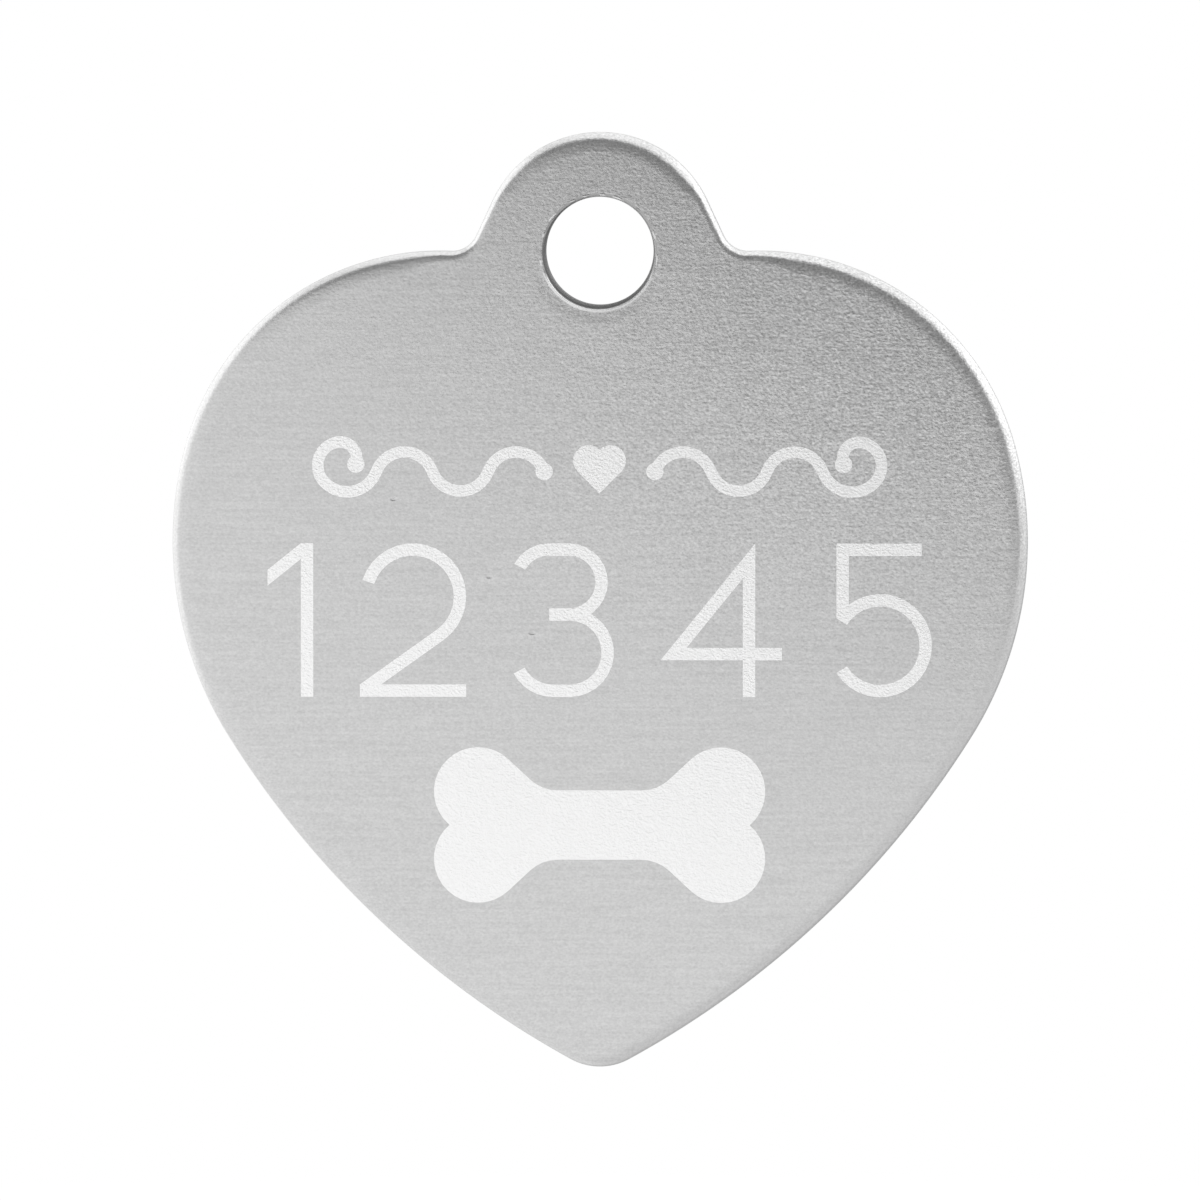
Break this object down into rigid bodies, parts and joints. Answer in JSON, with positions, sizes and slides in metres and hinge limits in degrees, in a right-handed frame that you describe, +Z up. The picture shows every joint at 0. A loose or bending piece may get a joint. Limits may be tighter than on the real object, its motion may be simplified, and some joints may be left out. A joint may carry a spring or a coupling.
{
  "type": "pet id tag",
  "caption": "Flat heart-shaped metal pet tag with a round tab and ring hole at the top, and whitened scroll, digit and bone marks on its face.",
  "frame": {"origin": "centre of the ring hole, halfway through the metal", "axes": "+Z up as the tag hangs, +X across it to the right as its face is seen, face towards -Y"},
  "size_m": [0.0318, 0.0012, 0.0347],
  "materials": {
    "metal": "satin anodised",
    "mark": "matt, laser whitened"
  },
  "bodies": {
    "root": {"tag_plate": "metal", "scroll_left": "mark", "heart_mark": "mark", "scroll_right": "mark", "digit_one": "mark", "digit_two": "mark", "digit_three": "mark", "digit_four": "mark", "digit_five": "mark", "bone_mark": "mark"}
  },
  "joints": []
}
